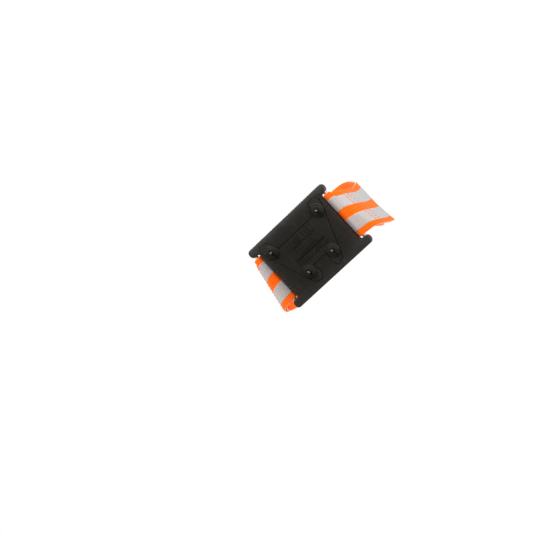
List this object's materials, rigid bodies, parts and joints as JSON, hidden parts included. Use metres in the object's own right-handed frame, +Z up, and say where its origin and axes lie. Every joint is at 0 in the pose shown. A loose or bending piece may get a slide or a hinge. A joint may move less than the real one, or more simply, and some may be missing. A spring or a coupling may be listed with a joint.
{
  "type": "shoe ice cleat",
  "caption": "Studded rubber plate for the arch of a boot, held by a loop of elastic webbing with two reflective bands, sewn round the side bars of a wire frame.",
  "frame": {"origin": "on the ground under the middle of the plate, where the stud tips stand", "axes": "+Z up, from the ground to the boot's sole; +Y towards the boot's toe; +X across the boot, from the left bar to the right bar"},
  "size_m": [0.0992, 0.0536, 0.1216],
  "materials": {
    "rubber": "matte moulded",
    "carrier": "satin moulded",
    "wire": "bright drawn wire",
    "stud": "dark phosphate",
    "carbide": "sintered carbide",
    "webbing": "woven elastic",
    "tape": "retroreflective mesh",
    "thread": "sewing thread"
  },
  "bodies": {
    "plate": {"base_plate": "rubber", "stud_carrier": "carrier", "wire_frame": "wire", "stud_body_heel_left": "stud", "stud_tip_heel_left": "carbide", "stud_body_heel_right": "stud", "stud_tip_heel_right": "carbide", "stud_body_toe_left": "stud", "stud_tip_toe_left": "carbide", "stud_body_toe_right": "stud", "stud_tip_toe_right": "carbide"},
    "strap_left": {"strap_left": "webbing", "reflective_tape_heel_left": "tape", "reflective_tape_toe_left": "tape", "stitch_row_lower_left": "thread", "stitch_row_upper_left": "thread"},
    "strap_top": {"strap_top": "webbing", "reflective_tape_heel_top": "tape", "reflective_tape_toe_top": "tape"},
    "strap_right": {"strap_right": "webbing", "reflective_tape_heel_right": "tape", "reflective_tape_toe_right": "tape", "stitch_row_lower_right": "thread", "stitch_row_upper_right": "thread"}
  },
  "joints": [
    {"name": "left_eye_hinge", "type": "hinge", "parent": "plate", "child": "strap_left", "pos_m": [-0.0347, 0, 0.007], "axis": [0, 1, 0], "range_deg": [-35, 35]},
    {"name": "left_corner_hinge", "type": "hinge", "parent": "strap_left", "child": "strap_top", "pos_m": [-0.0347, 0, 0.077], "axis": [0, 1, 0], "range_deg": [-35, 35]},
    {"name": "right_corner_hinge", "type": "hinge", "parent": "strap_top", "child": "strap_right", "pos_m": [0.0347, 0, 0.077], "axis": [0, 1, 0], "range_deg": [-35, 35]}
  ],
  "couplings": [
    {"joint": "left_corner_hinge", "follows": "left_eye_hinge", "ratio": -1},
    {"joint": "right_corner_hinge", "follows": "left_eye_hinge", "ratio": 1}
  ]
}
